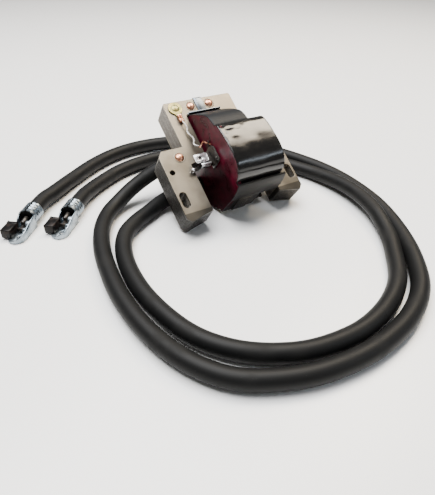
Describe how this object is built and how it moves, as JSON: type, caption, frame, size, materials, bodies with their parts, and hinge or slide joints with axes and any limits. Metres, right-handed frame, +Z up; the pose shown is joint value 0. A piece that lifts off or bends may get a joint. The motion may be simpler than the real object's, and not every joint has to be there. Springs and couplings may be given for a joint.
{
  "type": "ignition coil",
  "caption": "Flywheel-magneto ignition coil: laminated armature with slotted feet, potted coil in a black case and heavy rubber plug leads ending in clip terminals.",
  "frame": {"origin": "on the floor, under the middle of the box round the armature and coil, leads left out", "axes": "+X across the armature's legs, +Y horizontally away from its front face, +Z up; the armature leans back 55.7 degrees from upright"},
  "size_m": [0.2343, 0.2615, 0.0617],
  "materials": {
    "plate_steel": "satin bare steel, faintly warm",
    "stack_steel": "stacked sheet edges, dull",
    "copper": "satin copper",
    "spring_steel": "bright sheet",
    "yellow_zinc": "yellow passivated zinc",
    "tinned_wire": "tinned strand",
    "tin_plate": "bright tin plate",
    "dark_steel": "dark oiled steel",
    "case_black": "glossy moulded black",
    "epoxy": "dark red cast resin, glossy",
    "bobbin": "natural nylon",
    "winding": "enamelled copper wire",
    "paper": "varnished paper",
    "brass": "turned brass",
    "lead_rubber": "matte extruded rubber",
    "zinc_plate": "bright zinc plate",
    "block_black": "dark moulded plastic"
  },
  "bodies": {
    "root": {"lamination_front_plate": "plate_steel", "lamination_pack_front": "stack_steel", "lamination_pack_rear": "stack_steel", "lamination_rear_plate": "plate_steel", "yoke_rivets": "copper", "leg_rivets": "copper", "coil_retainer": "spring_steel", "ground_ring": "yellow_zinc", "ground_rivet": "yellow_zinc", "ground_wire": "tinned_wire", "primary_tail": "copper", "spade_terminal": "tin_plate", "terminal_bracket": "dark_steel", "terminal_rivet": "tin_plate", "coil_case": "case_black", "potting_epoxy": "epoxy", "primary_bobbin": "bobbin", "primary_winding": "winding", "layer_insulation": "paper", "secondary_bobbin": "bobbin", "secondary_winding": "winding", "ht_contacts": "brass", "lead_grommet_outer": "lead_rubber", "lead_grommet_inner": "lead_rubber", "ht_lead_outer": "lead_rubber", "ht_lead_inner": "lead_rubber", "plug_clip_outer": "zinc_plate", "plug_clip_inner": "zinc_plate", "plug_block_outer": "block_black", "plug_block_inner": "block_black", "plug_spring_outer": "dark_steel", "plug_spring_inner": "dark_steel"}
  },
  "joints": []
}
